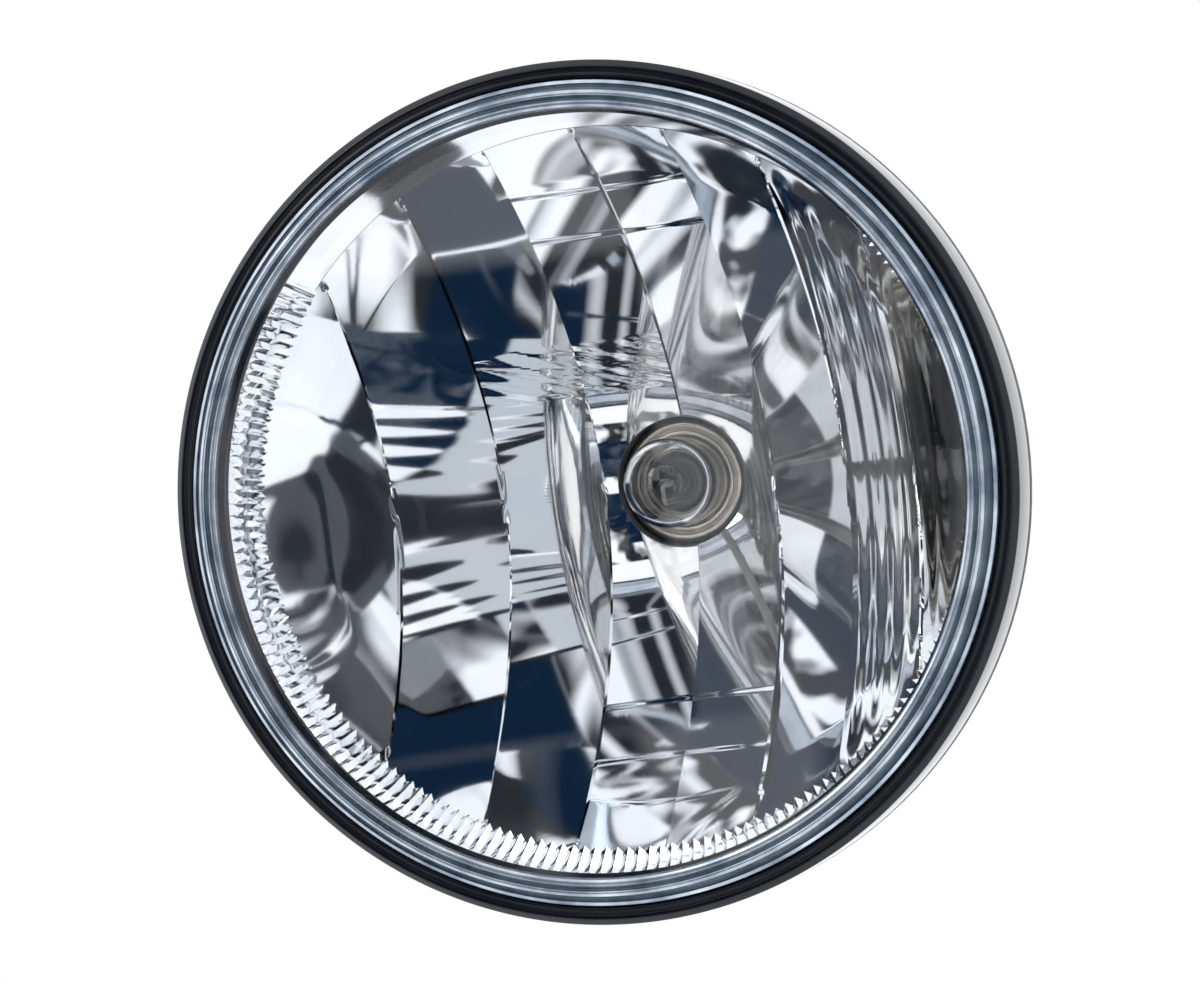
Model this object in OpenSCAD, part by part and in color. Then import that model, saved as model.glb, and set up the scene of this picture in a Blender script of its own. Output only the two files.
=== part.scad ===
// Round automotive fog lamp on a tilting yoke bracket.
// Millimetres. +Z is up, the lamp shines along -Y, and the origin is the centre of the three
// mounting holes on the bracket's rear face. Depths along the lamp are counted backwards from
// the front face of its outer rim; at(depth) turns such a depth into a Y coordinate.

/* [Rim and lens] */
// Outer diameter of the black rim
rim_d = 114; // [112:0.5:118]
// Depth of the rim's side wall
rim_wall_depth = 8.8; // [8:0.2:9.6]
// Outer diameter of the stepped lens collar
lens_d = 108.7; // [108.2:0.1:108.8]
// How far the lens window domes forwards
lens_dome = 2.9; // [1.5:0.1:5]
// Thickness of the lens window
lens_t = 2.6; // [2:0.1:3]

/* [Reflector] */
// Radius of the bowl's mouth
bowl_r = 48.3; // [47.8:0.1:48.6]
// Focal length of the bowl
focal = 12.7; // [12.4:0.1:13]
// Radius of the hole for the bulb
bulb_hole_r = 9.0; // [8.9:0.1:9.8]

/* [Bulb] */
// Radius of the glass capsule
glass_r = 6.2; // [5.8:0.1:6.4]
// Length of the connector socket below the lamp's axis
socket_reach = 32; // [28:1:34]

/* [Bracket] */
// Distance from the rim's front face to the mounting face
mount_depth = 88; // [86:1:94]
// Radius of the mounting holes' circle
bolt_circle_r = 32; // [31.5:0.1:32.5]
// Radius of each mounting hole, for M6 bolts
bolt_hole_r = 3.3; // [3.2:0.1:3.5]
// Sheet thickness of the bracket
sheet = 2; // [1.6:0.1:2.2]

/* [Aiming] */
// Height of the aim screw above the pivot axis
screw_z = 45; // [45:0.25:46]
// Depth of the pivot axis behind the rim's front face
pivot_depth = 45; // [44.5:0.1:45.5]

/* [Hidden] */
$fn = 96;

eps = 0.01;
steps = 14;                      // straight pieces along each curved outline
rim_r = rim_d / 2;
lens_r = lens_d / 2;

// Front joint between lens, rim and housing, as depths behind the rim's front face
bowl_depth = 10.9;               // mouth of the reflector bowl
fluted_r = 51;                   // front edge of the fluted band
fluted_depth = 6.5;
skirt_depth = 6.0;               // rear end of the lens skirt
groove_depth = 8.0;              // floor of the groove that holds the seal
seat_depth = 12.45;              // ledge that the reflector's flange rests on
seat_r = 52;
lens_flange_r = rim_r - 1.35;
ring_bore_r = rim_r - 1.2;
vertex = bowl_depth + bowl_r * bowl_r / (4 * focal);
focus_depth = vertex - focal;

// Rear collar of the housing, with its quarter-turn groove for the bulb
bore_r = 10;
collar_r = 15.5;
collar_end = 68;
groove_r = 12.6;
slot_r = 12.5;
lug_r = 12.2;
lug_from = 63.3;
lug_to = 65.7;
lug_angle = 34;
twist = 45;

// Bulb base and its downward connector socket
flange_from = 68.4;
flange_to = 70.4;
socket_w = 21;
socket_from = 69;
socket_to = 82;
socket_wall = 1.5;
socket_floor = 16;
blade_w = 2.8;
blade_t = 0.8;
blade_gap = 7;

// Pivots: the boss face, the bracket's arm and the screw head, as distances from the centre
boss_x = 40;
arm_x = 41;
play = 0.3;
arm_foot_x = 36;
shoulder_r = 4;
insert_r = 3.8;
thread_r = 2.5;
bush_r = 5.5;

// Yoke bracket
plate_r = 38;
plate_hole_r = 26;
arm_half = 12;
arm_tip_r = 8;
tab_back = 12;                   // how far the adjuster tab stands in front of the mounting face
tab_half = 8.5;

reflector_screw_r = 38;
reflector_screw_angles = [45, 135, 270];
vent_x = -20;
vent_z = -19;
vent_bend = 62;
nipple_r = 2.5;
elbow_r = 4;

// ---------- helpers ----------

function at(depth) = depth - mount_depth;

// Points of an arc, from angle a0 to a1, about [cx, cy]
function arc(cx, cy, r, a0, a1, n = 6) =
    [for (i = [0:n]) let (a = a0 + (a1 - a0) * i / n) [cx + r * cos(a), cy + r * sin(a)]];

// A point of the bowl's parabola at radius r, moved backwards and outwards to make a parallel skin
function bowl_point(r, back, out) =
    [r, vertex + back - pow(r - out, 2) / (4 * focal)];

function bowl_line(r_from, r_to, back, out) =
    [for (i = [0:steps]) bowl_point(r_from + (r_to - r_from) * i / steps, back, out)];

// Depth of the lens window's outer face at radius r
function window_depth(r) = -2.3 - lens_dome * (1 - pow(r / 50.5, 2));

// Turns an outline of [radius, depth] points about the lamp's axis
module turned(outline) {
    rotate([-90, 0, 0])
        rotate_extrude($fn = 180)
            polygon([for (p = outline) [p[0], at(p[1])]]);
}

// A cylinder along the lamp's axis, between two depths
module rod(r, from, to, x = 0, z = 0) {
    translate([x, at(from), z])
        rotate([-90, 0, 0])
            cylinder(r = r, h = to - from);
}

// A cylinder along X, between two distances, on the pivot axis
module cross_rod(r, from, to) {
    translate([from, at(pivot_depth), 0])
        rotate([0, 90, 0])
            cylinder(r = r, h = to - from);
}

module both_sides() {
    children();
    mirror([1, 0, 0]) children();
}

// ---------- bracket and what is fixed to it ----------

module yoke_strip() {
    // The bent strip seen from above: rear plate, slanting sides, straight arms
    bend = at(58);
    tip = at(pivot_depth) - arm_tip_r;
    outer = [[arm_foot_x + sheet, 0], [arm_x + sheet, bend], [arm_x + sheet, tip]];
    inner = [[arm_x, tip], [arm_x, bend], [arm_foot_x, -sheet]];
    half = concat([[arm_foot_x - 6, 0]], outer, inner, [[arm_foot_x - 6, -sheet]]);
    both_sides()
        translate([0, 0, -arm_half])
            linear_extrude(2 * arm_half) polygon(half);
}

module arm_outline() {
    // The arms seen from the side: wide at the plate, round at the pivot
    rotate([90, 0, 90])
        translate([0, 0, -rim_r])
            linear_extrude(2 * rim_r)
                union() {
                    polygon([
                        [0, -arm_half], [0, arm_half],
                        [at(pivot_depth), arm_tip_r], [at(pivot_depth), -arm_tip_r]
                    ]);
                    translate([at(pivot_depth), 0]) circle(arm_tip_r);
                }
}

module adjuster_tab() {
    web_z = plate_r - sheet;
    top = screw_z + 1;
    translate([-tab_half, -tab_back - sheet, web_z])
        cube([2 * tab_half, tab_back + sheet, sheet]);
    translate([-tab_half, -tab_back - sheet, web_z])
        cube([2 * tab_half, sheet, top - web_z]);
    translate([0, -tab_back - sheet, top])
        rotate([-90, 0, 0])
            cylinder(r = tab_half, h = sheet);
}

module mounting_bracket() {
    color("#3a3d40")
    difference() {
        union() {
            rotate([90, 0, 0]) cylinder(r = plate_r, h = sheet, $fn = 180);
            intersection() {
                yoke_strip();
                arm_outline();
            }
            adjuster_tab();
        }
        translate([0, 1, 0])
            rotate([90, 0, 0]) cylinder(r = plate_hole_r, h = sheet + 2, $fn = 180);
        for (a = [30, 150, 270])
            rotate([0, -a, 0])
                translate([bolt_circle_r, 1, 0])
                    rotate([90, 0, 0]) cylinder(r = bolt_hole_r, h = sheet + 2);
        both_sides() cross_rod(bush_r, arm_x - 1, arm_x + sheet + 1);
        translate([0, -tab_back - sheet - 1, screw_z])
            rotate([-90, 0, 0]) cylinder(r = 4.9, h = sheet + 2);
    }
}

module pivot_bushings() {
    color("#e8e4d8")
    both_sides()
        difference() {
            union() {
                cross_rod(bush_r, arm_x, arm_x + sheet);
                cross_rod(bush_r + 2, arm_x - 0.7, arm_x);
                cross_rod(bush_r + 2, arm_x + sheet, arm_x + sheet + 0.7);
            }
            cross_rod(shoulder_r + 0.05, arm_x - 1, arm_x + sheet + 1);
        }
}

module adjuster_bushing() {
    front = mount_depth - tab_back - sheet;
    back = mount_depth - tab_back;
    color("#e8e4d8")
    difference() {
        union() {
            rod(4.9, front, back, z = screw_z);
            rod(6.3, front - 0.8, front, z = screw_z);
            rod(6.3, back, back + 0.8, z = screw_z);
        }
        rod(3.05, front - 1, back + 1, z = screw_z);
    }
}

// ---------- lamp body ----------

module housing_skin() {
    // Outer shape of the shell with its rim flange and its rear collar
    turned(concat(
        [[0, groove_depth], [54.5, groove_depth], [54.5, 3.9], [55.7, 3.9],
         [55.7, rim_wall_depth + 0.05], [rim_r, rim_wall_depth + 0.05],
         [rim_r, 10.4], [rim_r - 0.4, 10.8], [54, 10.8], [53.6, 13]],
        bowl_line(52.7, collar_r + 0.6, 5.5, 3.2),
        [[collar_r, 60], [collar_r, collar_end - 0.8], [collar_r - 0.8, collar_end],
         [0, collar_end]]
    ));
}

module housing_cavity() {
    turned(concat(
        [[0, groove_depth - 1], [seat_r, groove_depth - 1], [seat_r, seat_depth + 0.05]],
        bowl_line(50.8, bore_r, 3.5, 1.5),
        [[bore_r, lug_from - 0.3], [groove_r, lug_from - 0.3], [groove_r, lug_to + 0.3],
         [bore_r, lug_to + 0.3], [bore_r, collar_end + 1], [0, collar_end + 1]]
    ));
}

module pivot_boss() {
    cross_rod(6.5, 26, boss_x);
    for (side = [-1, 1])
        translate([28, at(pivot_depth) - 16, side * 4 - 1])
            cube([6, 26, 2]);
}

module adjuster_boss() {
    translate([-5, at(pivot_depth) - 4, 26])
        cube([10, 8, screw_z - 5.6 - 26]);
}

module housing() {
    color("#1c1d1f")
    difference() {
        union() {
            housing_skin();
            both_sides() pivot_boss();
            adjuster_boss();
            for (a = reflector_screw_angles)
                rotate([0, -a, 0]) rod(5, 30, 45, x = reflector_screw_r);
            rod(nipple_r, 46, 59, x = vent_x, z = vent_z);
            // Stiffening ribs round the rear collar
            for (a = [22.5:45:360])
                rotate([0, -a, 0])
                    translate([collar_r - 1, at(50), -0.9])
                        cube([7, 13, 1.8]);
        }
        housing_cavity();
        both_sides() cross_rod(insert_r, 34.2, boss_x + 1);
        for (a = reflector_screw_angles)
            rotate([0, -a, 0]) {
                rod(3.3, 28, 39.2, x = reflector_screw_r);
                rod(1.7, 39, 46, x = reflector_screw_r);
            }
        rod(1.1, 44, 60, x = vent_x, z = vent_z);
        // Entry slots for the bulb's three lugs, an eighth of a turn from the locked place
        for (k = [0:2])
            rotate([0, -(90 + twist + 120 * k), 0])
                lug_sector(slot_r, lug_angle + 6, lug_to, collar_end + 1);
    }
}

// A ring sector centred on +X, reaching from inside the bore to radius r
module lug_sector(r, angle, from, to) {
    rotate([-90, 0, 0])
        translate([0, 0, at(from)])
            rotate([0, 0, -angle / 2])
                rotate_extrude(angle = angle)
                    translate([9, 0]) square([r - 9, to - from]);
}

module retaining_ring() {
    color("#101113")
    turned(concat(
        [[lens_r + 0.1, 1.45], [lens_r + 0.1, 0.35], [lens_r + 0.4, 0]],
        arc(rim_r - 0.9, 0.9, 0.9, -90, 0),
        [[rim_r, rim_wall_depth - 0.2], [rim_r - 0.2, rim_wall_depth],
         [ring_bore_r, rim_wall_depth], [ring_bore_r, 1.45]]
    ));
}

module lens() {
    window = [for (i = [0:steps]) 50.5 * i / steps];
    inside = [for (i = [steps:-1:0]) 49.9 * i / steps];
    color("#dfe9ee", 0.45)
    turned(concat(
        [for (r = window) [r, window_depth(r)]],
        [[51.1, -2.9], [52.6, -2.9], [52.8, -2.7], [52.8, -0.95], [54.1, -0.95],
         [lens_r, -0.7], [lens_r, 1.55], [lens_flange_r, 1.55], [lens_flange_r, 3.6],
         [lens_r, 3.6], [lens_r, skirt_depth], [51.2, skirt_depth], [51.2, 1.6]],
        [for (r = inside) [r, window_depth(r) + lens_t]]
    ));
}

module lens_seal() {
    color("#2b2b2b")
    turned([[52.0, skirt_depth + 0.05], [54.4, skirt_depth + 0.05],
            [54.4, groove_depth - 0.05], [52.0, groove_depth - 0.05]]);
}

module reflector_shell() {
    turned(concat(
        [[fluted_r, fluted_depth]],
        bowl_line(bowl_r, bulb_hole_r, 0, 0),
        [[bulb_hole_r, 58], [bulb_hole_r + 1.7, 58]],
        bowl_line(bulb_hole_r + 2, 49.6, 2.5, 0.8),
        [[51.8, seat_depth], [51.8, fluted_depth]]
    ));
}

module reflector() {
    color("#d9dde0")
    union() {
        reflector_shell();
        difference() {
            for (a = reflector_screw_angles)
                rotate([0, -a, 0])
                    difference() {
                        rod(3, 26, 39, x = reflector_screw_r);
                        rod(1.5, 34.5, 40, x = reflector_screw_r);
                    }
            // The posts stay behind the bowl's mirror face
            turned(concat([[0, 0]], [[bowl_r + 1.5, 8]], bowl_line(bowl_r + 1, 0, 0.8, 0.3)));
        }
    }
}

module reflector_screws() {
    color("#b8bcc0")
    for (a = reflector_screw_angles)
        rotate([0, -a, 0]) {
            rod(1.5, 34.5, 45, x = reflector_screw_r);
            difference() {
                union() {
                    rod(3.8, 45, 45.8, x = reflector_screw_r);
                    rod(2.9, 45.8, 48, x = reflector_screw_r);
                }
                translate([reflector_screw_r, at(47), 0])
                    rotate([-90, 0, 0]) cylinder(r = 1.5, h = 2, $fn = 6);
            }
        }
}

module pivot_inserts() {
    color("#b59a4c")
    both_sides()
        difference() {
            cross_rod(insert_r, 34.2, boss_x);
            cross_rod(thread_r, 34, boss_x + 1);
        }
}

module pivot_screws() {
    seat_x = arm_x + sheet + 0.7 + play;
    color("#a9adb1")
    both_sides()
        difference() {
            union() {
                cross_rod(thread_r, 34.4, boss_x);
                cross_rod(shoulder_r, boss_x, seat_x + 0.8);
                cross_rod(6.2, seat_x + 0.8, seat_x + 3.6);
            }
            translate([seat_x + 2, at(pivot_depth), 0])
                rotate([0, 90, 0]) cylinder(r = 2.6, h = 3, $fn = 6);
        }
}

module pivot_washers() {
    seat_x = arm_x + sheet + 0.7 + play;
    color("#c6c9cc")
    both_sides()
        difference() {
            cross_rod(7.2, seat_x, seat_x + 0.8);
            cross_rod(shoulder_r, seat_x - 1, seat_x + 1);
        }
}

module vent_elbow() {
    // Rubber elbow on the housing's vent nipple, its mouth pointing down
    color("#262626")
    difference() {
        union() {
            rod(elbow_r, 54.4, vent_bend, x = vent_x, z = vent_z);
            translate([vent_x, at(vent_bend), vent_z]) sphere(r = elbow_r);
            translate([vent_x, at(vent_bend), vent_z - 9]) cylinder(r = elbow_r, h = 9);
        }
        rod(nipple_r, 53, 59, x = vent_x, z = vent_z);
        rod(1.4, 58, vent_bend, x = vent_x, z = vent_z);
        translate([vent_x, at(vent_bend), vent_z]) sphere(r = 1.4);
        translate([vent_x, at(vent_bend), vent_z - 10]) cylinder(r = 1.4, h = 10);
    }
}

module vent_cap() {
    // Breather cap with drain slots, pushed over the elbow's mouth
    color("#3c4f66")
    translate([vent_x, at(vent_bend), vent_z - 11.5])
        difference() {
            cylinder(r = elbow_r + 1.3, h = 6);
            translate([0, 0, 2.5]) cylinder(r = elbow_r, h = 4);
            for (a = [0:60:300])
                rotate([0, 0, a])
                    translate([2.8, -0.5, -1]) cube([4, 1, 2.4]);
        }
}

module adjuster_socket() {
    color("#e8e4d8")
    difference() {
        translate([-7, at(pivot_depth) - 4, screw_z - 5.6])
            cube([14, 8, 9.6]);
        translate([0, at(pivot_depth), screw_z]) sphere(r = 5);
        rod(3.9, pivot_depth - 5, pivot_depth + 5, z = screw_z);
    }
}

// ---------- aiming gear ----------

module ball_nut() {
    color("#d8d2bf")
    difference() {
        union() {
            translate([0, at(pivot_depth), screw_z]) sphere(r = 4.7);
            rod(3.3, pivot_depth - 5, pivot_depth + 5, z = screw_z);
        }
        rod(thread_r + 0.25, pivot_depth - 7, pivot_depth + 7, z = screw_z);
    }
}

module aim_screw() {
    tip = pivot_depth - 5;
    journal_from = mount_depth - tab_back - sheet - 0.8 - play;
    head_from = mount_depth - tab_back + 0.8 + play;
    color("#b8bcc0")
    difference() {
        union() {
            rod(thread_r - 0.4, tip, tip + 1, z = screw_z);
            rod(thread_r, tip + 1, journal_from, z = screw_z);
            rod(3, journal_from, head_from, z = screw_z);
            rod(4.6, head_from, head_from + 1, z = screw_z);
            translate([0, at(head_from + 1), screw_z])
                rotate([-90, 0, 0]) cylinder(r = 4.2, h = 5, $fn = 6);
        }
        for (a = [0, 90])
            translate([0, at(head_from + 4), screw_z])
                rotate([0, a, 0])
                    translate([-2.6, 0, -0.5]) cube([5.2, 3, 1]);
    }
}

module screw_retainer() {
    journal_from = mount_depth - tab_back - sheet - 0.8 - play;
    color("#6f7479")
    difference() {
        rod(5.6, journal_from - 0.9, journal_from, z = screw_z);
        rod(thread_r, journal_from - 2, journal_from + 1, z = screw_z);
        for (a = [0:90:270])
            translate([0, at(journal_from - 2), screw_z])
                rotate([0, a, 0])
                    translate([2, 0, -0.4]) cube([2.2, 4, 0.8]);
    }
}

// ---------- bulb ----------

module base_body() {
    turned([
        [0, 57], [5, 57], [5, 58.55], [9.4, 58.55], [9.4, 60.4], [8.15, 60.4], [8.15, 62.4],
        [9.4, 62.4], [9.4, flange_from], [14.5, flange_from], [14.5, flange_to],
        [11.5, flange_to], [11.5, socket_to - 1], [10.5, socket_to], [0, socket_to]
    ]);
    for (k = [0:2])
        rotate([0, -(90 + 120 * k), 0])
            lug_sector(lug_r, lug_angle, lug_from, lug_to);
}

module bulb_base() {
    color("#2a2c30")
    difference() {
        union() {
            base_body();
            translate([-socket_w / 2, at(socket_from), -socket_reach])
                cube([socket_w, socket_to - socket_from, socket_reach]);
            // Latch ramp for the plug, and two side rails
            translate([-3, at(socket_to) - eps, -socket_reach + 5])
                cube([6, 1.4, 3]);
            for (side = [-1, 1])
                translate([side * (socket_w / 2 + 0.6) - 0.6, at(socket_from) + 5, -socket_reach])
                    cube([1.2, 3, socket_reach - 10]);
        }
        translate([-socket_w / 2 + socket_wall, at(socket_from) + socket_wall, -socket_reach - 1])
            cube([
                socket_w - 2 * socket_wall,
                socket_to - socket_from - 2 * socket_wall,
                socket_reach - socket_floor + 1
            ]);
    }
}

module bulb_o_ring() {
    color("#7a3b1e")
    rotate([-90, 0, 0])
        translate([0, 0, at(61.4)])
            rotate_extrude($fn = 180)
                translate([9.05, 0]) circle(r = 0.9, $fn = 32);
}

module terminal_blades() {
    mid = at((socket_from + socket_to) / 2);
    color("#c9b37a")
    for (side = [-1, 1])
        translate([side * blade_gap / 2 - blade_w / 2, mid - blade_t / 2, -socket_reach + 7])
            cube([blade_w, blade_t, socket_reach - 7 - socket_floor]);
}

module bulb_collar() {
    color("#b9a98f")
    turned([
        [glass_r + 0.05, 57], [7.4, 56.6], [8.5, 57.4], [8.5, 58.5], [glass_r + 0.05, 58.5]
    ]);
}

module bulb_glass() {
    wall = 0.8;
    shoulder = focus_depth + 2.6;
    color("#e6edf0", 0.5)
    turned(concat(
        [for (i = [0:8]) let (a = 90 * i / 8) [glass_r * sin(a), shoulder - 6 * cos(a)]],
        [[glass_r, 58.5], [glass_r - wall, 58.5]],
        [for (i = [8:-1:0]) let (a = 90 * i / 8)
            [(glass_r - wall) * sin(a), shoulder - 5.1 * cos(a)]]
    ));
}

module filament() {
    color("#5a5650")
    rod(0.65, focus_depth - 0.7, focus_depth + 2.4);
}

module filament_supports() {
    // One short wire behind the coil, one long wire that returns to its front end
    wire = 0.35;
    front = focus_depth - 1.1;
    back = focus_depth + 2.4;
    color("#8f8a82")
    union() {
        rod(0.75, back, back + 0.8);
        rod(wire, back + 0.8, 57);
    }
    color("#8f8a82")
    union() {
        rod(wire, front, 57, z = -2.6);
        translate([0, at(front), -2.6]) cylinder(r = wire, h = 2.6);
        translate([0, at(front), -2.6]) sphere(r = wire);
        translate([0, at(front), 0]) sphere(r = 0.39);
    }
}

mounting_bracket();
pivot_bushings();
adjuster_bushing();
housing();
retaining_ring();
lens();
lens_seal();
reflector();
reflector_screws();
pivot_inserts();
pivot_screws();
pivot_washers();
vent_elbow();
vent_cap();
adjuster_socket();
ball_nut();
aim_screw();
screw_retainer();
bulb_base();
bulb_o_ring();
terminal_blades();
bulb_collar();
bulb_glass();
filament();
filament_supports();
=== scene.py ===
"""Round fog lamp: the looks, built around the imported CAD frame."""
import math

import bmesh
import bpy
from mathutils import Matrix, Vector


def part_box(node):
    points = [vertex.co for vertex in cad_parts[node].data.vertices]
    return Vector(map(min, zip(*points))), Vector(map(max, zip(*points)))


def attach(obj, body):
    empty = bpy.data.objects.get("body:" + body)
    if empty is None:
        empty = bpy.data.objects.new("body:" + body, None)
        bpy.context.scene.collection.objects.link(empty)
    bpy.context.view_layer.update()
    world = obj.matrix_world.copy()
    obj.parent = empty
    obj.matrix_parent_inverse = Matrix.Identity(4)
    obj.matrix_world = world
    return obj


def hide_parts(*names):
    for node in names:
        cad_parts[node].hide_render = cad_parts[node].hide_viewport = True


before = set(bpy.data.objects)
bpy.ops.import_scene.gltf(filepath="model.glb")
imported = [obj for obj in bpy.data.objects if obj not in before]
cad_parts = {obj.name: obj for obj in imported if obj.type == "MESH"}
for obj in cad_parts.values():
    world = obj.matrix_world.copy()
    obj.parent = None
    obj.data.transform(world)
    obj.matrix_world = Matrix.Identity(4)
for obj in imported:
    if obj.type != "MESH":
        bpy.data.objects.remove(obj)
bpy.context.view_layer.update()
MM = 0.001

# ---------------------------------------------------------------- sizes, in millimetres
# Depths count backwards from the front face of the black rim, as the CAD does.

ring_low, ring_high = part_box("retaining_ring")
RIM_R = (ring_high[0] - ring_low[0]) / 2 / MM
RIM_WALL = (ring_high[1] - ring_low[1]) / MM
FACE_Y = ring_low[1]
LENS_R = RIM_R - 2.65
WINDOW_R = 50.5
WINDOW_DOME = 2.9
LENS_T = 2.6
BOWL_R = 48.3
BOWL_DEPTH = 10.9
FLUTED_R = 51.0
FLUTED_DEPTH = 6.5
FOCAL = 12.7
HOLE_R = 9.0
VERTEX = BOWL_DEPTH + BOWL_R**2 / (4 * FOCAL)
FOCUS = VERTEX - FOCAL
GLASS_R = 6.2
GLASS_FOOT = 58.5
WIRE_FOOT = 57

screw_low, screw_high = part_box("aim_screw")
SCREW_Z = (screw_low[2] + screw_high[2]) / 2 / MM


def at(depth):
    """The Y coordinate, in metres, of a depth behind the rim's front face."""
    return FACE_Y + depth * MM


# ---------------------------------------------------------------- mesh helpers


def new_object(name, mesh, sharp=32):
    """An object with smooth faces and edges that stay sharp above an angle, in degrees."""
    mesh.update()
    mesh.polygons.foreach_set("use_smooth", [True] * len(mesh.polygons))
    mesh.set_sharp_from_angle(angle=math.radians(sharp))
    obj = bpy.data.objects.new(name, mesh)
    bpy.context.scene.collection.objects.link(obj)
    return obj


def from_bmesh(name, bm, sharp=32):
    """Turns a finished bmesh into an object, with its faces turned outwards."""
    bmesh.ops.recalc_face_normals(bm, faces=bm.faces)
    mesh = bpy.data.meshes.new(name)
    bm.to_mesh(mesh)
    bm.free()
    return new_object(name, mesh, sharp)


def rounded(points, radius, steps=4):
    """A closed outline with each corner turned into an arc, as large as its sides allow."""
    out = []
    count = len(points)
    for i in range(count):
        here = Vector(points[i])
        before = Vector(points[i - 1]) - here
        after = Vector(points[(i + 1) % count]) - here
        if before.length < 1e-6 or after.length < 1e-6:
            continue
        turn = math.pi - before.angle(after)
        on_axis = abs(here.x) < 1e-6
        if on_axis or turn < math.radians(12):
            out.append(tuple(here))
            continue
        cut = min(radius * math.tan(turn / 2), before.length * 0.45, after.length * 0.45)
        start = here + before.normalized() * cut
        end = here + after.normalized() * cut
        for k in range(steps + 1):
            t = k / steps
            out.append(tuple(start * (1 - t) ** 2 + here * 2 * t * (1 - t) + end * t**2))
    return out


def lathe_into(bm, outline, segments=192, slot_of=None, z=0.0, closed=True):
    """Turns an outline of (radius, depth) points about a line along the lamp's axis, at height z.

    slot_of gives the material slot of the faces that start at a point of the outline.
    """
    rings = []
    for r, depth in outline:
        if r < 1e-6:
            rings.append([bm.verts.new((0.0, at(depth), z * MM))])
            continue
        ring = []
        for k in range(segments):
            a = 2 * math.pi * k / segments
            ring.append(bm.verts.new((r * math.cos(a) * MM, at(depth), (z + r * math.sin(a)) * MM)))
        rings.append(ring)
    for i in range(len(rings) if closed else len(rings) - 1):
        one, two = rings[i], rings[(i + 1) % len(rings)]
        if len(one) == 1 and len(two) == 1:
            continue
        for k in range(segments):
            n = (k + 1) % segments
            corners = [one[k % len(one)], one[n % len(one)], two[n % len(two)], two[k % len(two)]]
            unique = list(dict.fromkeys(corners))
            face = bm.faces.new(unique)
            if slot_of is not None:
                face.material_index = slot_of(i)


def lathe(name, outline, segments=192, sharp=32, slot_of=None):
    """One turned piece on the lamp's own axis."""
    bm = bmesh.new()
    lathe_into(bm, outline, segments, slot_of)
    return from_bmesh(name, bm, sharp)


def join_rings(bm, rings, slot=0):
    """Skins a row of equal rings of vertices with four-sided faces."""
    for one, two in zip(rings, rings[1:]):
        for k in range(len(one)):
            n = (k + 1) % len(one)
            bm.faces.new([one[k], one[n], two[n], two[k]]).material_index = slot


def tube_into(bm, path, radius, sides=10):
    """A closed round wire of one radius along a list of points, in metres."""
    points = [Vector(p) for p in path]
    normal = None
    rings = []
    for i, p in enumerate(points):
        ahead = points[min(i + 1, len(points) - 1)] - points[max(i - 1, 0)]
        tangent = ahead.normalized()
        if normal is None:
            normal = tangent.orthogonal().normalized()
        normal = (normal - tangent * normal.dot(tangent)).normalized()
        side = tangent.cross(normal)
        ring = []
        for k in range(sides):
            a = 2 * math.pi * k / sides
            ring.append(bm.verts.new(p + (normal * math.cos(a) + side * math.sin(a)) * radius))
        rings.append(ring)
    join_rings(bm, rings)
    bm.faces.new(rings[0])
    bm.faces.new(rings[-1][::-1])


# ---------------------------------------------------------------- materials


class Shader:
    """A small builder for one node material."""

    def __init__(self, name):
        self.mat = bpy.data.materials.new(name)
        self.mat.use_nodes = True
        self.nodes = self.mat.node_tree.nodes
        self.links = self.mat.node_tree.links
        self.bsdf = self.nodes["Principled BSDF"]
        self.coords = self.nodes.new("ShaderNodeTexCoord").outputs["Object"]

    def set(self, **values):
        for key, value in values.items():
            self.bsdf.inputs[key.replace("_", " ")].default_value = value

    def noise(self, scale, detail, stretch=(1, 1, 1)):
        """Noise over the object's own coordinates. scale is in cells per metre."""
        mapping = self.nodes.new("ShaderNodeMapping")
        mapping.inputs["Scale"].default_value = [scale * s for s in stretch]
        self.links.new(self.coords, mapping.inputs["Vector"])
        tex = self.nodes.new("ShaderNodeTexNoise")
        tex.inputs["Scale"].default_value = 1.0
        tex.inputs["Detail"].default_value = detail
        tex.inputs["Roughness"].default_value = 0.55
        self.links.new(mapping.outputs["Vector"], tex.inputs["Vector"])
        return tex.outputs["Fac"]

    def ramp(self, fac, low, high):
        """A colour between low and high. Noise mostly stays between 0.3 and 0.7."""
        node = self.nodes.new("ShaderNodeValToRGB")
        first, last = node.color_ramp.elements
        first.position, first.color = 0.3, (*low, 1)
        last.position, last.color = 0.7, (*high, 1)
        self.links.new(fac, node.inputs["Fac"])
        return node.outputs["Color"]

    def spread(self, fac, low, high):
        """A number between low and high."""
        node = self.nodes.new("ShaderNodeMapRange")
        node.inputs["To Min"].default_value = low
        node.inputs["To Max"].default_value = high
        self.links.new(fac, node.inputs["Value"])
        return node.outputs["Result"]

    def colour(self, socket):
        self.links.new(socket, self.bsdf.inputs["Base Color"])

    def rough(self, fac, low, high):
        self.links.new(self.spread(fac, low, high), self.bsdf.inputs["Roughness"])

    def bump(self, height, strength, distance):
        """Small unevenness of the surface. distance is its height in metres."""
        node = self.nodes.new("ShaderNodeBump")
        node.inputs["Strength"].default_value = strength
        node.inputs["Distance"].default_value = distance
        self.links.new(height, node.inputs["Height"])
        self.links.new(node.outputs["Normal"], self.bsdf.inputs["Normal"])


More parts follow.
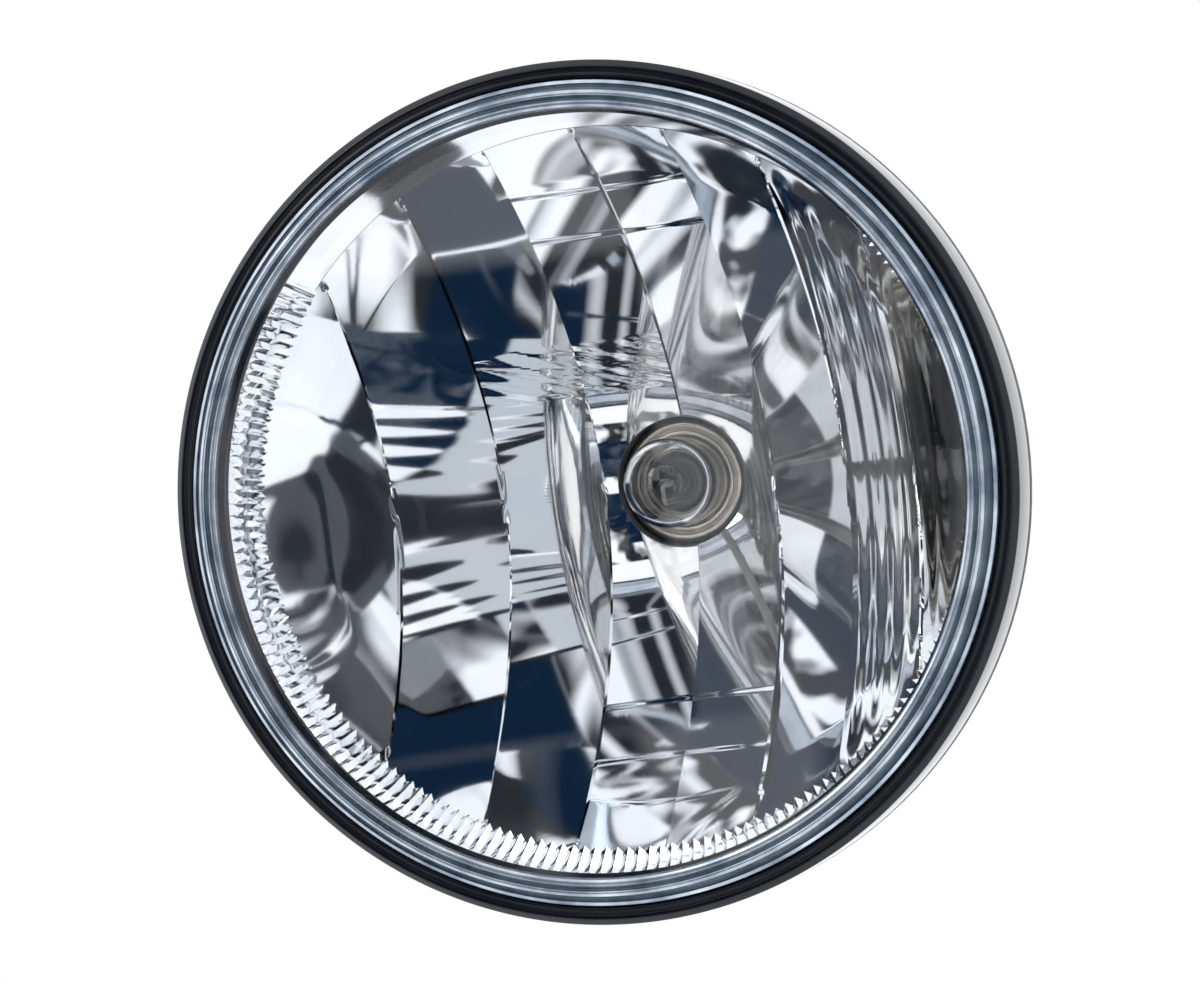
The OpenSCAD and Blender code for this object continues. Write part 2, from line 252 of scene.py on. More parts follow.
def moulded_plastic(name, colour, rough=0.5, grain=2600, variation=0.25):
    """Plastic with a fine moulded grain. grain is in cells per metre."""
    s = Shader(name)
    s.set(Roughness=rough, Specular_IOR_Level=0.5)
    cloud = s.noise(90, 3)
    dark = tuple(c * (1 - variation) for c in colour)
    light = tuple(min(1, c * (1 + variation)) for c in colour)
    s.colour(s.ramp(cloud, dark, light))
    s.rough(s.noise(260, 5), rough - 0.07, rough + 0.09)
    s.bump(s.noise(grain, 2), 0.25, 0.00012)
    return s.mat


def painted_steel(name, colour):
    """Sheet steel under a dark coat with an uneven, slightly pebbled face."""
    s = Shader(name)
    s.set(Metallic=0.0, Coat_Weight=0.25, Coat_Roughness=0.25)
    cloud = s.noise(70, 4)
    s.colour(s.ramp(cloud, tuple(c * 0.75 for c in colour), tuple(c * 1.3 for c in colour)))
    s.rough(s.noise(180, 6), 0.34, 0.5)
    s.bump(s.noise(700, 5), 0.22, 0.0001)
    return s.mat


def plated_steel(name, colour, rough=0.28):
    """Bare plated metal with faint drawing marks."""
    s = Shader(name)
    s.set(Metallic=1.0)
    s.colour(s.ramp(s.noise(320, 5), tuple(c * 0.82 for c in colour), colour))
    s.rough(s.noise(500, 5, stretch=(1, 6, 1)), rough - 0.08, rough + 0.12)
    s.bump(s.noise(1500, 3), 0.12, 0.00006)
    return s.mat


def rubber(name, colour):
    """Dull rubber with a little dust in its colour."""
    s = Shader(name)
    s.set(Specular_IOR_Level=0.35)
    s.colour(s.ramp(s.noise(120, 4), tuple(c * 0.7 for c in colour), tuple(c * 1.4 for c in colour)))
    s.rough(s.noise(400, 4), 0.58, 0.78)
    s.bump(s.noise(1300, 3), 0.3, 0.0001)
    return s.mat


def gloss_black(name):
    """The rim's smooth black, with the faint waves of moulded gloss."""
    s = Shader(name)
    s.set(Specular_IOR_Level=0.35)
    s.colour(s.ramp(s.noise(150, 3), (0.002, 0.003, 0.005), (0.005, 0.007, 0.011)))
    s.rough(s.noise(420, 5), 0.04, 0.09)
    s.bump(s.noise(90, 2), 0.03, 0.00005)
    return s.mat


def clear_glass(name, gloss, tint=(1.0, 1.0, 1.0), rough=0.0):
    """gloss is 0.5 for bare glass and less for a coated window."""
    s = Shader(name)
    s.set(Transmission_Weight=1.0, IOR=1.49, Specular_IOR_Level=gloss, Base_Color=(*tint, 1))
    s.rough(s.noise(60, 2), rough, rough + 0.012)
    return s.mat


def collar_glass_painted_shade(name):
    """The lens's stepped edge, thick and half clear, with painted shade and reflection: a dark steel-blue
    tone in the glass stands in for the black groove behind it and the blue light it reflects.
    """
    s = Shader(name)
    s.set(Transmission_Weight=0.5, IOR=1.58, Coat_Weight=0.5, Coat_Roughness=0.02)
    # Painted shade and reflection: the dark steel-blue tone, varying at random
    s.colour(s.ramp(s.noise(240, 3), (0.035, 0.065, 0.10), (0.12, 0.19, 0.25)))
    s.rough(s.noise(300, 4), 0.02, 0.06)
    return s.mat


def painted_highlight_edge(name, low=(0.13, 0.18, 0.25), high=(0.66, 0.71, 0.78)):
    """Painted highlight: a pale, part-metal colour on the lens's lips and inner wall that stands in for
    the bright lines of light seen there.
    """
    s = Shader(name)
    s.set(Metallic=0.75)
    s.colour(s.ramp(s.noise(120, 4), low, high))
    s.rough(s.noise(300, 4), 0.10, 0.22)
    return s.mat


def mirror_metal(name, rough_low=0.015, rough_high=0.05):
    """Metallised plastic, with a roughness that varies a little."""
    s = Shader(name)
    s.set(Metallic=1.0)
    s.colour(s.ramp(s.noise(45, 3), (0.86, 0.89, 0.92), (0.95, 0.96, 0.97)))
    s.rough(s.noise(140, 5), rough_low, rough_high)
    return s.mat


# ---------------------------------------------------------------- reflector

# Width of a column, and how far the middle edge stands to +X of the axis
COLUMN = 12.2
COLUMN_SHIFT = 1.2
# Spacing of the mirror's mesh lines, and of the close pair that makes each edge a sharp step
MESH_STEP = 0.4
EDGE = 0.09
# The relief dies away over this width inside the bowl's rim
FADE = 6.0

# The mirror is cut into upright columns. Each is fluted a little and leans the other way from the
# column before it, at its side edges and at its ends, so that neighbours mirror different places.
COLUMN_COUNT = 8
FLUTE = 0.35
SIDE_TILT = 0.35
END_LEAN = 0.9
END_BOW = 0.6
# Two thin ledges cross the two middle columns near the top, and two near the bottom
LEDGES = (-36.5, -29.5, 34.7, 40.5)
LEDGE_COLUMNS = (3, 4)
LEDGE_HEIGHT = 0.12
# A patch of fine slanting ribs between these heights, over two columns
HATCH_LOW, HATCH_HIGH = 14.0, 20.5
HATCH_COLUMNS = (2, 3)
HATCH_PITCH = 2.2
HATCH_SLANT = 0.35
HATCH_HEIGHT = 0.05
# Narrow upright flutes within the columns on the +X side
FINE_COLUMNS = (6, 7)
FINE_PITCH = COLUMN / 4
FINE_HEIGHT = 0.05
# The small radial ribs round the bowl's mouth
RIB_COUNT = 200
RIB_HEIGHT = 0.42
# Screw posts on the reflector's back
POST_R = 38.0
POST_ANGLES = (45, 135, 270)
# Depth at which the neck round the bulb's hole ends
NECK_END = 58


def column_edges():
    """Where neighbouring columns meet, along X."""
    half = COLUMN_COUNT // 2
    return [COLUMN_SHIFT + COLUMN * k for k in range(1 - half, half)]


def relief(x, z, column):
    """How far, in millimetres, the mirror stands behind a plain bowl."""
    centre = COLUMN_SHIFT + COLUMN * (column - COLUMN_COUNT // 2 + 0.5)
    across = (x - centre) / (COLUMN / 2)
    up = z / BOWL_R
    turn = 1 if column % 2 == 0 else -1
    shape = -FLUTE * (1 - across**2) + turn * (SIDE_TILT * across + END_LEAN * up) + END_BOW * up**2
    if column in HATCH_COLUMNS and HATCH_LOW < z < HATCH_HIGH:
        shape += HATCH_HEIGHT * math.sin(2 * math.pi * (z + HATCH_SLANT * x) / HATCH_PITCH)
    if column in FINE_COLUMNS:
        shape += FINE_HEIGHT * math.cos(2 * math.pi * (x - centre) / FINE_PITCH)
    if column in LEDGE_COLUMNS:
        shape -= LEDGE_HEIGHT * sum(1 for ledge in LEDGES if abs(z) > abs(ledge) and z * ledge > 0)
    return shape


def bowl_depth_at(x, z, column):
    """Depth of the mirror's face. The relief dies away towards the bowl's rim."""
    fade = min(1.0, max(0.0, (BOWL_R - math.hypot(x, z)) / FADE))
    return VERTEX - (x * x + z * z) / (4 * FOCAL) + fade * relief(x, z, column)


def split_line(edges, low, high, step):
    """Sample places from low to high with a close pair at each edge, and the cell each is in."""
    places = []
    bounds = [low] + [e for e in edges if low < e < high] + [high]
    for cell, (a, b) in enumerate(zip(bounds, bounds[1:])):
        start = a + (EDGE if cell else 0)
        end = b - (EDGE if cell < len(bounds) - 2 else 0)
        count = max(2, round((end - start) / step))
        for i in range(count + 1):
            places.append((start + (end - start) * i / count, cell))
    return places


def reflector_bowl(bm):
    """The mirror's face, on lines that follow its columns and ledges."""
    edges = column_edges()
    xs = split_line(edges, -BOWL_R, BOWL_R, MESH_STEP)
    # Lines crowd where the bowl's edge and the bulb's hole turn upright
    for k in range(1, 6):
        for side in (-1, 1):
            rim = side * BOWL_R * math.cos(math.radians(0.8 * k * k))
            xs.append((rim, 0 if side < 0 else len(edges)))
            hole = side * HOLE_R * math.cos(math.radians(1.2 * k * k))
            xs.append((hole, sum(1 for e in edges if hole > e)))
    for side in (-1, 1):
        xs.append((side * HOLE_R, sum(1 for e in edges if side * HOLE_R > e)))
    xs = sorted(set(xs))
    zs = [z for z, _ in split_line(LEDGES, -BOWL_R, BOWL_R, MESH_STEP)]
    halves = [[z for z in zs if z < 0] + [0.0], [0.0] + [z for z in zs if z > 0]]
    for half, sign in zip(halves, (-1, 1)):
        lines = []
        for x, column in xs:
            reach = math.sqrt(max(BOWL_R**2 - x * x, 0))
            gap = math.sqrt(max(HOLE_R**2 - x * x, 0))
            line = []
            for z in half:
                height = min(max(abs(z), gap), reach) * sign
                depth = bowl_depth_at(x, height, column)
                line.append(bm.verts.new((x * MM, at(depth), height * MM)))
            lines.append(line)
        for one, two in zip(lines, lines[1:]):
            for k in range(len(half) - 1):
                bm.faces.new([one[k], two[k], two[k + 1], one[k + 1]])


def rib_strength(angle):
    """1 round the sides and the bottom of the bowl, easing to 0 over the top, in degrees from +X."""
    from_top = abs((angle - 90 + 180) % 360 - 180)
    return min(1.0, max(0.0, (from_top - 48) / 8))


def fluted_band(bm, slot):
    """The ring of small radial ribs round the bowl's mouth, which is smooth over the top."""
    per_rib = 6
    total = RIB_COUNT * per_rib
    lean = math.atan2(FLUTED_R - BOWL_R, BOWL_DEPTH - FLUTED_DEPTH)
    rings = [[] for _ in range(6)]
    for k in range(total):
        a = 2 * math.pi * k / total
        strength = rib_strength(math.degrees(a))
        phase = (k % per_rib) / per_rib
        ridge = (1 - abs(2 * phase - 1)) * strength
        for ring in range(5):
            t = ring / 4
            height = RIB_HEIGHT * (ridge - 0.5 * strength) if ring else 0.0
            r = FLUTED_R + (BOWL_R - FLUTED_R) * t - height * math.cos(lean)
            depth = FLUTED_DEPTH + (BOWL_DEPTH - FLUTED_DEPTH) * t - height * math.sin(lean)
            if ring == 4:
                r, depth = BOWL_R - 0.15 - 0.75 * ridge, BOWL_DEPTH + 0.35
            rings[ring].append(bm.verts.new((r * math.cos(a) * MM, at(depth), r * math.sin(a) * MM)))
        # The teeth end in a short wall that goes back to the bowl's face
        r = BOWL_R - 0.05
        rings[5].append(bm.verts.new((r * math.cos(a) * MM, at(BOWL_DEPTH + 1.2), r * math.sin(a) * MM)))
    join_rings(bm, rings, slot)


def skin_depth(r):
    """Depth of the reflector's back skin: the mirror's own curve, moved back and outwards."""
    return VERTEX + 2.5 - (r - 0.8) ** 2 / (4 * FOCAL)


def reflector_back(bm):
    """The flange, the back skin and the neck round the bulb's hole."""
    radii = [BOWL_R + 1.3 + (HOLE_R + 2 - BOWL_R - 1.3) * i / 16 for i in range(17)]
    flange_r = FLUTED_R + 0.8
    line = [(FLUTED_R, FLUTED_DEPTH), (FLUTED_R + 0.65, FLUTED_DEPTH)]
    line += [(flange_r, FLUTED_DEPTH + 0.15), (flange_r, skin_depth(radii[0]))]
    line += [(r, skin_depth(r)) for r in radii]
    line += [(HOLE_R + 1.7, NECK_END), (HOLE_R, NECK_END), (HOLE_R, VERTEX - 2.2)]
    lathe_into(bm, line, 192, closed=False)


def reflector_post(bm, x, z):
    """A round post that grows out of the back skin, with a blind screw hole in its end."""
    segments, radius, hole, end = 40, 3.0, 1.5, 39.0
    profile = [(radius, None), (radius, end - 0.3), (radius - 0.3, end), (hole + 0.2, end),
               (hole, end - 0.2), (hole, end - 4.5)]
    rings = []
    for r, depth in profile:
        ring = []
        for k in range(segments):
            a = 2 * math.pi * k / segments
            px, pz = x + r * math.cos(a), z + r * math.sin(a)
            y = skin_depth(math.hypot(px, pz)) - 0.6 if depth is None else depth
            ring.append(bm.verts.new((px * MM, at(y), pz * MM)))
        rings.append(ring)
    join_rings(bm, rings)
    bm.faces.new(rings[-1])


def make_reflector():
    """The bowl in three finishes: mirror, ribbed band and, behind them, bare plastic."""
    bm = bmesh.new()
    reflector_bowl(bm)
    bmesh.ops.remove_doubles(bm, verts=bm.verts, dist=2e-6)
    fluted_band(bm, 1)
    front = set(bm.faces)
    reflector_back(bm)
    for angle in POST_ANGLES:
        a = math.radians(angle)
        reflector_post(bm, POST_R * math.cos(a), POST_R * math.sin(a))
    for face in bm.faces:
        if face not in front:
            face.material_index = 2
    obj = from_bmesh("reflector", bm, 20)
    obj.data.materials.append(mirror_metal("reflector_mirror"))
    obj.data.materials.append(mirror_metal("reflector_band", 0.03, 0.09))
    obj.data.materials.append(moulded_plastic("reflector_back", (0.34, 0.35, 0.36), 0.45))
    return obj


# ---------------------------------------------------------------- lens and rim


def window_depth(r):
    """Depth of the window's outer face, a shallow dome."""
    return -2.3 - WINDOW_DOME * (1 - (r / WINDOW_R) ** 2)


def make_lens():
    """The clear window, and round it the stepped edge: a lip, a groove, a land, a step. The lips, the
    land and the inner wall carry a painted highlight, and the rest of the edge a painted dark steel-blue
    shade.
    """
    count, inner_r = 40, 49.9
    radii = [WINDOW_R * i / count for i in range(count + 1)]
    outside = [(r, window_depth(r)) for r in radii]
    lip = [(50.75, -2.75), (51.05, -2.9), (51.5, -2.9)]
    groove = [(51.75, -2.5), (52.1, -2.5)]
    land = [(52.3, -2.9), (52.6, -2.9), (52.95, -2.6)]
    step = [
        (53.05, -0.95), (53.35, -0.95), (53.5, -0.7), (53.7, -0.7), (53.85, -0.95),
        (LENS_R - 0.45, -0.95), (LENS_R, -0.6), (LENS_R, 1.55), (LENS_R + 1.3, 1.6),
        (LENS_R + 1.3, 3.55), (LENS_R, 3.6), (LENS_R, 6.0), (51.2, 6.0), (51.2, 1.8),
        (inner_r, window_depth(inner_r) + LENS_T),
    ]
    radii = [inner_r * i / count for i in range(count - 1, -1, -1)]
    inside = [(r, window_depth(r) + LENS_T) for r in radii]
    outline = outside[:-1] + rounded([outside[-1]] + lip + groove + land + step, 0.15, 3) + inside

    def slot_of(i):
        r, depth = outline[i]
        if r < 50.5 and depth < 1.0:
            return 0
        # The inside wall of the skirt gets a paler painted highlight
        if r < 51.4 and depth > 1.0:
            return 3
        # The lips and the land get the painted highlight
        lips = 50.7 < r < 51.6 or 52.2 < r < 53.0 or (LENS_R - 0.5 < r < LENS_R - 0.1 and depth < 0)
        return 1 if lips else 2

    obj = lathe("lens", outline, 256, 40, slot_of)
    obj.data.materials.append(clear_glass("lens_clear", 0.1))
    # Slot 1 is a painted highlight, slot 2 a painted dark steel-blue shade, slot 3 a paler painted
    # highlight
    obj.data.materials.append(painted_highlight_edge("lens_painted_highlight_edge"))
    obj.data.materials.append(collar_glass_painted_shade("lens_collar_painted_shade"))
    obj.data.materials.append(painted_highlight_edge("lens_inner_wall_painted_highlight", (0.46, 0.53, 0.61), (0.80, 0.84, 0.88)))
    return obj


def make_ring():
    """The black rim, with a fine groove in its face."""
    outline = rounded([
        (LENS_R + 0.1, 1.45), (LENS_R + 0.1, 0.35), (LENS_R + 0.4, 0.0), (RIM_R - 1.9, 0.0),
        (RIM_R - 1.75, 0.18), (RIM_R - 1.5, 0.18), (RIM_R - 1.35, 0.0), (RIM_R - 0.8, 0.0),
        (RIM_R, 0.8), (RIM_R, RIM_WALL), (RIM_R - 1.2, RIM_WALL), (RIM_R - 1.2, 1.45),
    ], 0.3, 5)
    obj = lathe("retaining_ring", outline, 256, 40)
    obj.data.materials.append(gloss_black("rim_gloss"))
    return obj


# ---------------------------------------------------------------- bulb


def make_bulb_glass():
    """A short capsule with a domed tip."""
    shoulder = FOCUS + 2.6
    wall = 0.8
    count = 16
    angles = [math.pi / 2 * i / count for i in range(count + 1)]
    outside = [(GLASS_R * math.sin(a), shoulder - 6 * math.cos(a)) for a in angles]
    inside = [((GLASS_R - wall) * math.sin(a), shoulder - 5.1 * math.cos(a)) for a in reversed(angles)]
    outline = outside + [(GLASS_R, GLASS_FOOT), (GLASS_R - wall, GLASS_FOOT)] + inside
    obj = lathe("bulb_glass", outline, 96, 50)
    obj.data.materials.append(clear_glass("bulb_clear", 0.5, (1.0, 0.99, 0.97)))
    return obj


def make_bulb_collar():
    """The pale metal ring round the foot of the glass, with two rolled lips, and its plate inside."""
    def lip(middle, radius):
        arc = [math.pi * i / 10 for i in range(11)]
        return [(middle - radius * math.cos(a), 57.35 - radius * math.sin(a)) for a in arc]

    bore = GLASS_R + 0.05
    outline = lip(6.75, 0.45) + lip(7.9, 0.6)
    outline += [(8.5, GLASS_FOOT), (bore, GLASS_FOOT), (bore, 57.4)]
    plate_r, plate_face = GLASS_R - 0.85, 57.9
    plate = [(0, plate_face), (1.6, plate_face), (2.6, 57.6), (plate_r, plate_face)]
    plate = rounded(plate + [(plate_r, GLASS_FOOT), (0, GLASS_FOOT)], 0.4, 3)
    bm = bmesh.new()
    lathe_into(bm, outline, 96)
    lathe_into(bm, plate, 96)
    obj = from_bmesh("bulb_collar", bm, 50)
    obj.data.materials.append(plated_steel("collar_metal", (0.97, 0.90, 0.80), 0.2))
    return obj


def make_filament():
    """A coil at the focus, along the lamp's axis."""
    bm = bmesh.new()
    turns, start, end = 7, FOCUS - 0.7, FOCUS + 2.4
    path = []
    for i in range(turns * 16 + 1):
        a = 2 * math.pi * i / 16
        depth = start + (end - start) * i / (turns * 16)
        path.append((0.5 * math.cos(a) * MM, at(depth), 0.5 * math.sin(a) * MM))
    tube_into(bm, path, 0.13 * MM, 6)
    obj = from_bmesh("filament", bm, 60)
    obj.data.materials.append(plated_steel("tungsten", (0.30, 0.29, 0.28), 0.4))
    return obj


def make_supports():
    """Two bent wires hold the coil at its ends. The longer one comes forward below it."""
    bm = bmesh.new()
    front, back, low, wire = FOCUS - 1.1, FOCUS + 2.6, -2.6 * MM, 0.3 * MM
    short = [(0.0, at(WIRE_FOOT), 0.0), (0.0, at(back + 1), 0.0), (0.3 * MM, at(back), 0.2 * MM),
             (0.5 * MM, at(FOCUS + 2.3), 0.0)]
    tube_into(bm, short, wire, 10)
    long = [(0.0, at(WIRE_FOOT), low), (0.0, at(front + 0.8), low), (0.0, at(front + 0.2), low * 0.92),
            (0.0, at(front), low * 0.7), (0.0, at(front), low * 0.2), (0.5 * MM, at(FOCUS - 0.7), 0.0)]
    tube_into(bm, long, wire, 10)
    obj = from_bmesh("filament_supports", bm, 60)
    obj.data.materials.append(plated_steel("wire_metal", (0.5, 0.49, 0.47), 0.35))
    return obj


# ---------------------------------------------------------------- aim screw


def make_aim_screw():
    """The screw with a real helical thread, a collar, a hexagon head and a cross recess."""
    bm = bmesh.new()
    radius, core, pitch = 2.5, 2.05, 1.5
    low = (screw_low[1] - FACE_Y) / MM
    high = (screw_high[1] - FACE_Y) / MM
    collar, head = high - 6, high - 5
    thread_end = collar - 4.4
    segments = 48
    rows_per_turn = 12
    rows = int((thread_end - low) / pitch * rows_per_turn)
    rings = []
    for i in range(rows + 1):
        depth = low + (thread_end - low) * i / rows
        ring = []
        for k in range(segments):
            phase = (depth / pitch - k / segments) % 1.0
            flank = min(1.0, abs(2 * phase - 1) * 1.25)
            taper = min(1.0, (depth - low) / 1.2, (thread_end - depth) / 1.0)
            r = core + (radius - core) * flank * taper
            a = 2 * math.pi * k / segments
            ring.append(bm.verts.new((r * math.cos(a) * MM, at(depth), (SCREW_Z + r * math.sin(a)) * MM)))
        rings.append(ring)
    join_rings(bm, rings)
    bm.faces.new(rings[0])
    bm.faces.new(rings[-1])
    body = rounded([(0, thread_end - 0.2), (2.3, thread_end - 0.2), (3, thread_end + 0.3), (3, collar),
                    (4.6, collar), (4.6, head), (0, head)], 0.15, 3)
    lathe_into(bm, body, 64, z=SCREW_Z)
    hexagon_head(bm, head, high)
    obj = from_bmesh("aim_screw", bm, 35)
    obj.data.materials.append(plated_steel("screw_zinc", (0.74, 0.75, 0.77), 0.25))
    return obj


def hexagon_head(bm, front, back):
    """A hexagon with chamfered corners and a cross recess in its end."""
    corner, half, arm, recess = 4.2, 0.5, 2.6, 2.0
    angles = [math.radians(60 * k) for k in range(6)]
    hexagon = [(corner * math.cos(a), corner * math.sin(a)) for a in angles]
    quarter = [(arm, -half), (arm, half), (half, half)]
    cross = []
    for k in range(4):
        c, s = round(math.cos(math.pi * k / 2)), round(math.sin(math.pi * k / 2))
        cross += [(x * c - z * s, x * s + z * c) for x, z in quarter]

    def ring(points, scale, y):
        return [bm.verts.new((x * scale * MM, at(y), (SCREW_Z + z * scale) * MM)) for x, z in points]

    base = ring(hexagon, 1.0, front)
    shoulder = ring(hexagon, 1.0, back - 0.5)
    top = ring(hexagon, 0.9, back)
    mouth = ring(cross, 1.0, back)
    bottom = ring(cross, 0.85, back - recess)
    join_rings(bm, [base, shoulder, top])
    join_rings(bm, [mouth, bottom])
    bm.faces.new(base)
    bm.faces.new(bottom)
    rim = [bm.edges.get((loop[k], loop[k - 1])) for loop in (top, mouth) for k in range(len(loop))]
    bmesh.ops.triangle_fill(bm, edges=rim, use_beauty=True)


# ---------------------------------------------------------------- assembly

# Each piece's maker, the body it rides on, the CAD node it stands for, and its finish
PIECES = [
    (make_reflector, "lamp", "reflector", "reflector_metal"),
    (make_lens, "lamp", "lens", "lens_glass"),
    (make_ring, "lamp", "retaining_ring", "rim_black"),
    (make_bulb_glass, "bulb", "bulb_glass", "bulb_glass"),
    (make_bulb_collar, "bulb", "bulb_collar", "collar_metal"),
    (make_filament, "bulb", "filament", "filament_metal"),
    (make_supports, "bulb", "filament_supports", "wire_metal"),
    (make_aim_screw, "adjuster_screw", "aim_screw", "screw_steel"),
]
for make, body, node, slot in PIECES:
    piece = make()
    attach(piece, body)
    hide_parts(node)

nylon = moulded_plastic("white_nylon", (0.72, 0.70, 0.63), 0.42, 1500, 0.08)
black = moulded_plastic("housing_black", (0.018, 0.019, 0.021), 0.52)
base = moulded_plastic("base_plastic", (0.026, 0.028, 0.032), 0.42, 3200)
cap = moulded_plastic("cap_plastic", (0.07, 0.10, 0.15), 0.5)
zinc = plated_steel("zinc_plate", (0.70, 0.71, 0.72))
brass = plated_steel("brass_turned", (0.72, 0.55, 0.28), 0.3)
# CAD nodes whose own shape is right, with a material and a small bevel along each edge
KEPT = {
    "mounting_bracket": painted_steel("bracket_coat", (0.055, 0.058, 0.064)),
    "pivot_bushings": nylon, "adjuster_bushing": nylon, "adjuster_socket": nylon, "ball_nut": nylon,
    "housing": black, "lens_seal": rubber("seal_rubber", (0.012, 0.012, 0.013)),
    "reflector_screws": zinc, "pivot_screws": zinc, "pivot_washers": zinc, "screw_retainer": zinc,
    "pivot_inserts": brass, "terminal_blades": plated_steel("blade_brass", (0.80, 0.70, 0.48), 0.2),
    "vent_elbow": rubber("elbow_rubber", (0.02, 0.02, 0.021)), "vent_cap": cap,
    "bulb_base": base, "bulb_o_ring": rubber("ring_rubber", (0.28, 0.07, 0.03)),
}
EDGE_BREAK = 0.22
for node, material in KEPT.items():
    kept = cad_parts[node]
    for material_slot in kept.material_slots:
        material_slot.link = "OBJECT"
        material_slot.material = material
    weld = kept.modifiers.new("weld", "WELD")
    weld.merge_threshold = 0.002 * MM
    edge = kept.modifiers.new("edge_break", "BEVEL")
    edge.width = EDGE_BREAK * MM
    edge.segments = 2
    edge.limit_method = "ANGLE"
    edge.angle_limit = math.radians(40)
    edge.use_clamp_overlap = True
    edge.harden_normals = True

# ---------------------------------------------------------------- stage, light and camera


def make_floor():
    """A white floor. The camera is level with the lamp and looks over it."""
    half, front, rear, drop = 1.2, -1.2, 0.3, -0.105
    corners = [(-half, front, drop), (half, front, drop), (half, rear, drop), (-half, rear, drop)]
    mesh = bpy.data.meshes.new("floor")
    mesh.from_pydata(corners, [], [(0, 1, 2, 3)])
    floor = bpy.data.objects.new("floor", mesh)
    bpy.context.scene.collection.objects.link(floor)
    s = Shader("floor_paint")
    s.set(Roughness=0.9, Emission_Color=(1, 1, 1, 1), Emission_Strength=0.35)
    s.colour(s.ramp(s.noise(2, 2), (0.93, 0.93, 0.93), (0.96, 0.96, 0.96)))
    mesh.materials.append(s.mat)
    # The mirror shows the studio's own dark and pale panels below the lamp, not this floor
    floor.visible_glossy = False
    floor.visible_transmission = False


# What the studio shows the mirror, seen from the lamp. Each panel is painted over the ones before
# it: azimuth from and to, elevation from and to, in degrees from straight ahead, and its tone.
WHITE = (1.25, 1.27, 1.32)
PALE = (0.72, 0.76, 0.81)
CHARCOAL = (0.022, 0.026, 0.032)
NAVY = (0.003, 0.017, 0.045)
STREAKS = None  # uneven, mostly upright streaks of light on dark
PANELS = [
    (-40, 40, -40, -10, STREAKS),
    (-10, 40, -10, 40, STREAKS),
    (-30, -10, -10, 10, CHARCOAL),
    (-10, 10, 10, 30, NAVY),
    (10, 30, 0, 20, NAVY),
    (0, 20, -30, -10, NAVY),
    (-20, 0, -30, -20, CHARCOAL),
    (-10, 0, -10, 10, PALE),
]
PANEL_EDGE = 1.0  # how soft a panel's edge is, in degrees
STREAK_CELLS = (11, 11, 3.5)


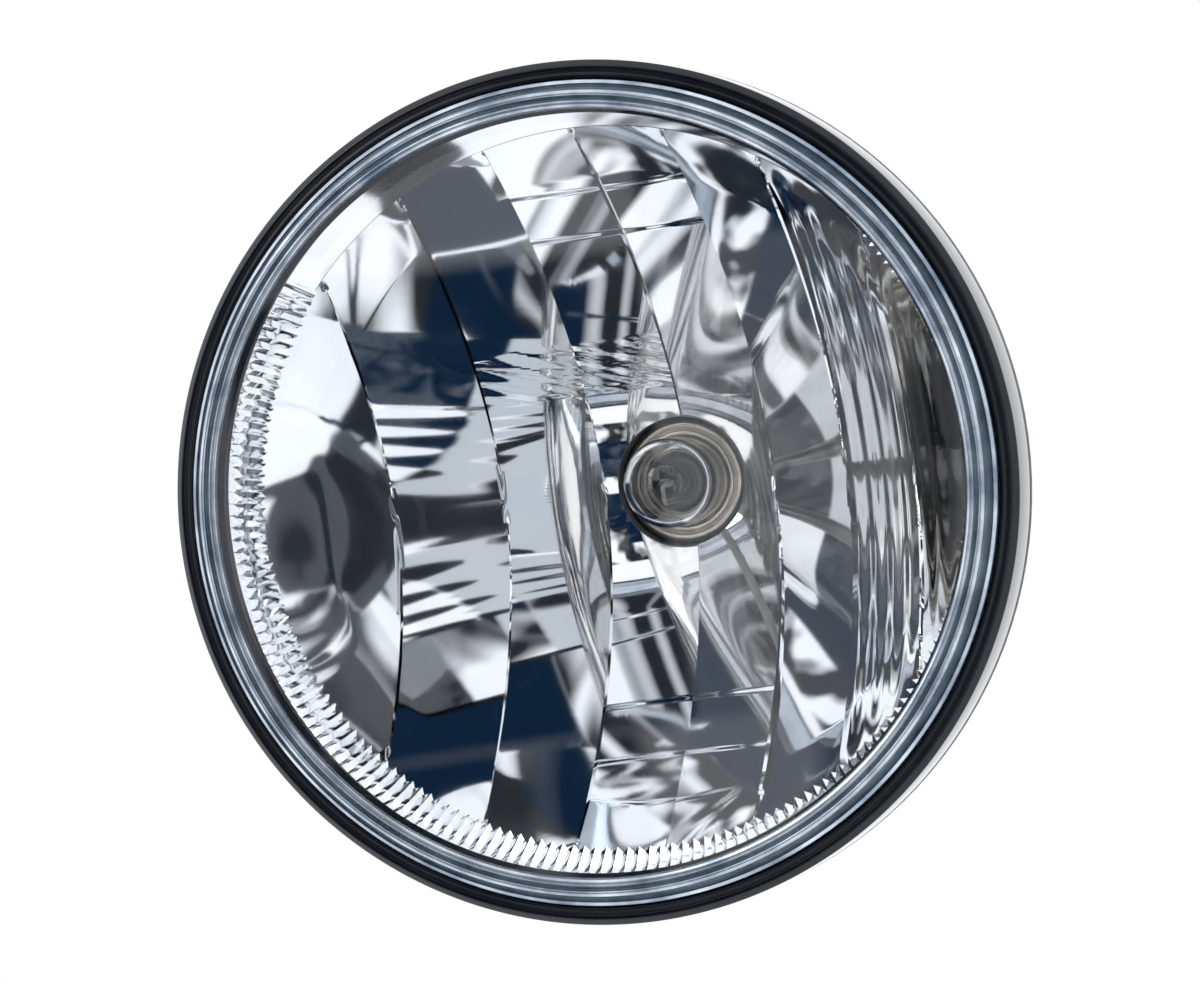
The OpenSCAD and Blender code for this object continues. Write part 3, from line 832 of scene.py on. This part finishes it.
def studio_world():
    """White for the eye; for reflections, a studio of pale and dark panels."""
    world = bpy.data.worlds.new("studio")
    bpy.context.scene.world = world
    world.use_nodes = True
    nt = world.node_tree
    nodes, links = nt.nodes, nt.links
    nodes.clear()

    def math_node(op, a, b=None):
        n = nodes.new("ShaderNodeMath")
        n.operation = op
        for i, v in enumerate((a, b)):
            if v is None:
                continue
            if isinstance(v, (int, float)):
                n.inputs[i].default_value = v
            else:
                links.new(v, n.inputs[i])
        return n.outputs[0]

    generated = nodes.new("ShaderNodeTexCoord").outputs["Generated"]
    direction = nodes.new("ShaderNodeSeparateXYZ")
    links.new(generated, direction.inputs[0])
    x, y, z = direction.outputs
    around = math_node("ARCTAN2", x, math_node("MULTIPLY", y, -1.0))
    azimuth = math_node("MULTIPLY", around, math.degrees(1))
    elevation = math_node("MULTIPLY", math_node("ARCSINE", z), math.degrees(1))

    def band(value, low, high):
        """1 where value is between low and high, easing to 0 outside."""
        off = math_node("ABSOLUTE", math_node("SUBTRACT", value, (low + high) / 2))
        n = nodes.new("ShaderNodeMapRange")
        n.interpolation_type = "SMOOTHSTEP"
        n.inputs["From Min"].default_value = (high - low) / 2 + PANEL_EDGE / 2
        n.inputs["From Max"].default_value = (high - low) / 2 - PANEL_EDGE / 2
        links.new(off, n.inputs["Value"])
        return n.outputs["Result"]

    stretch = nodes.new("ShaderNodeVectorMath")
    stretch.operation = "MULTIPLY"
    stretch.inputs[1].default_value = STREAK_CELLS
    links.new(generated, stretch.inputs[0])
    cloud = nodes.new("ShaderNodeTexNoise")
    cloud.inputs["Scale"].default_value = 1.0
    cloud.inputs["Detail"].default_value = 1.5
    links.new(stretch.outputs[0], cloud.inputs["Vector"])
    streaks = nodes.new("ShaderNodeValToRGB")
    low, high = streaks.color_ramp.elements
    low.position, low.color = 0.46, (*CHARCOAL, 1)
    high.position, high.color = 0.60, (*WHITE, 1)
    links.new(cloud.outputs["Fac"], streaks.inputs["Fac"])

    painted = None
    for az_low, az_high, el_low, el_high, tone in PANELS:
        mask = math_node("MULTIPLY", band(azimuth, az_low, az_high), band(elevation, el_low, el_high))
        layer = nodes.new("ShaderNodeMix")
        layer.data_type = "RGBA"
        layer.inputs["A"].default_value = (*WHITE, 1)
        if tone is STREAKS:
            links.new(streaks.outputs["Color"], layer.inputs["B"])
        else:
            layer.inputs["B"].default_value = (*tone, 1)
        links.new(mask, layer.inputs["Factor"])
        if painted is not None:
            links.new(painted, layer.inputs["A"])
        painted = layer.outputs["Result"]

    seen = nodes.new("ShaderNodeBackground")
    seen.inputs["Color"].default_value = (1, 1, 1, 1)
    seen.inputs["Strength"].default_value = 1.0
    studio = nodes.new("ShaderNodeBackground")
    links.new(painted, studio.inputs["Color"])
    mix = nodes.new("ShaderNodeMixShader")
    links.new(nodes.new("ShaderNodeLightPath").outputs["Is Camera Ray"], mix.inputs["Fac"])
    links.new(studio.outputs[0], mix.inputs[1])
    links.new(seen.outputs[0], mix.inputs[2])
    out = nodes.new("ShaderNodeOutputWorld")
    links.new(mix.outputs[0], out.inputs["Surface"])


def area_light(name, place, size, power):
    """A soft light that faces the object. The camera doesn't see it."""
    data = bpy.data.lights.new(name, "AREA")
    data.shape = "RECTANGLE"
    data.size, data.size_y = size
    data.energy = power
    light = bpy.data.objects.new(name, data)
    light.location = place
    light.rotation_mode = "QUATERNION"
    light.rotation_quaternion = (-Vector(place)).to_track_quat("-Z", "Y")
    light.visible_camera = False
    bpy.context.scene.collection.objects.link(light)


def make_camera():
    """Stands to the lamp's +X side, level with it and rolled, as the photographer's camera was."""
    azimuth, roll = math.radians(13.5), math.radians(7.5)
    lens, sensor, frame_w = 200.0, 36.0, 158.7
    distance = lens * frame_w / sensor * MM
    aim = Vector((0, at(5.2), 0))
    back = Vector((math.sin(azimuth), -math.cos(azimuth), 0))
    right = Vector((math.cos(azimuth), math.sin(azimuth), 0))
    up = Vector((0, 0, 1))
    cam_right = right * math.cos(roll) - up * math.sin(roll)
    cam_up = up * math.cos(roll) + right * math.sin(roll)
    data = bpy.data.cameras.new("camera")
    data.lens, data.sensor_width = lens, sensor
    data.clip_start, data.clip_end = 0.01, 100
    cam = bpy.data.objects.new("camera", data)
    cam.matrix_world = Matrix.Translation(aim + back * distance) @ Matrix(
        (cam_right, cam_up, back)
    ).transposed().to_4x4()
    bpy.context.scene.collection.objects.link(cam)
    bpy.context.scene.camera = cam


make_floor()
studio_world()
area_light("key_light", (-0.9, -0.9, 0.9), (0.8, 0.8), 6)
area_light("rim_light", (0.9, 0.5, 0.5), (0.6, 0.9), 6)
make_camera()
view = bpy.context.scene.view_settings
view.view_transform = "Standard"
view.look = "None"
